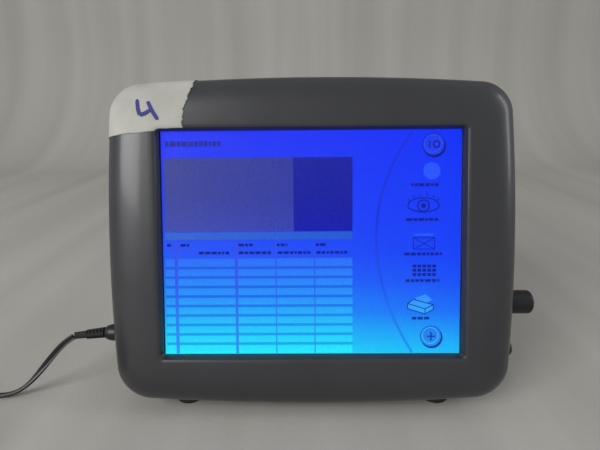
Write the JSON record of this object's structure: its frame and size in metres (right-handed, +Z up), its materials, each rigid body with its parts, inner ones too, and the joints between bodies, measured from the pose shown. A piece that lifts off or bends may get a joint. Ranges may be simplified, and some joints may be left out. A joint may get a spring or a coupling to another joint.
{
  "type": "ophthalmic biometer console",
  "caption": "Touch-screen console in a bowed charcoal case that leans on a hinged rear stand, with a side knob, a push button and a plugged-in supply lead with its wall adapter.",
  "frame": {"origin": "on the table, under the middle of the console and its opened stand, the supply lead left out", "axes": "+X to the console's right as its user sees it, -Y towards the user, +Z up"},
  "size_m": [0.404, 0.1988, 0.1942],
  "materials": {
    "case_plastic": "fine satin charcoal moulding",
    "black_plastic": "semi-gloss black",
    "rubber": "matt black",
    "foam": "closed-cell foam",
    "touch_glass": "clear, faintly reflective",
    "lit_screen": "lit blue display",
    "acrylic": "milky white",
    "steel": "satin",
    "zinc": "zinc plated",
    "circuit_board": "green solder mask",
    "ribbon": "grey flat cable",
    "brass": "satin",
    "cable": "soft black jacket"
  },
  "bodies": {
    "console": {"front_bezel": "case_plastic", "rear_cover": "case_plastic", "touch_panel": "touch_glass", "panel_gasket": "foam", "display_frame": "steel", "display_glass": "lit_screen", "light_guide": "acrylic", "backlight_lamp": "acrylic", "display_back_plate": "zinc", "chassis_plate": "zinc", "main_board": "circuit_board", "pulser_board": "circuit_board", "pulser_shield": "steel", "inverter_board": "circuit_board", "coin_cell": "steel", "display_ribbon": "ribbon", "speaker": "black_plastic", "encoder_body": "zinc", "encoder_nut": "steel", "button_body": "black_plastic", "button_nut": "zinc", "button_spring": "steel", "socket_plate": "zinc", "dc_jack": "black_plastic", "footswitch_jack": "black_plastic", "probe_socket": "steel", "printer_port": "black_plastic", "probe_lead": "cable", "stand_pin_left": "steel", "stand_pin_right": "steel", "left_foot": "rubber", "right_foot": "rubber", "dc_plug_barrel": "steel", "dc_plug_body": "black_plastic", "dc_plug_boot": "rubber", "cord_run": "cable", "cord_coil": "cable", "cord_tail": "cable", "adapter_base": "black_plastic", "adapter_cover": "black_plastic", "adapter_blades": "steel", "adapter_boot": "rubber", "case_screw_1": "steel", "board_screw_1": "brass", "chassis_screw_1": "zinc", "case_screw_2": "steel", "board_screw_2": "brass", "chassis_screw_2": "zinc", "case_screw_3": "steel", "board_screw_3": "brass", "chassis_screw_3": "zinc", "case_screw_4": "steel", "board_screw_4": "brass", "chassis_screw_4": "zinc"},
    "knob": {"encoder_shaft": "brass", "control_knob": "black_plastic"},
    "power_button": {"power_button": "black_plastic"},
    "stand": {"tilt_stand": "case_plastic", "stand_pad_left": "rubber", "stand_pad_right": "rubber"}
  },
  "joints": [
    {"name": "knob_turn", "type": "hinge", "parent": "console", "child": "knob", "pos_m": [0.111, -0.02374, 0.05853], "axis": [1, 0, 0], "continuous": true},
    {"name": "power_button_press", "type": "slide", "parent": "console", "child": "power_button", "axis": [-1, 0, 0], "range_m": [0, 0.002], "stiffness_N_per_m": 400, "deforming": ["button_spring"]},
    {"name": "stand_hinge", "type": "hinge", "parent": "console", "child": "stand", "pos_m": [-0.00905, 0.01844, 0.08049], "axis": [1, 0, 0], "range_deg": [-39, 0]}
  ]
}
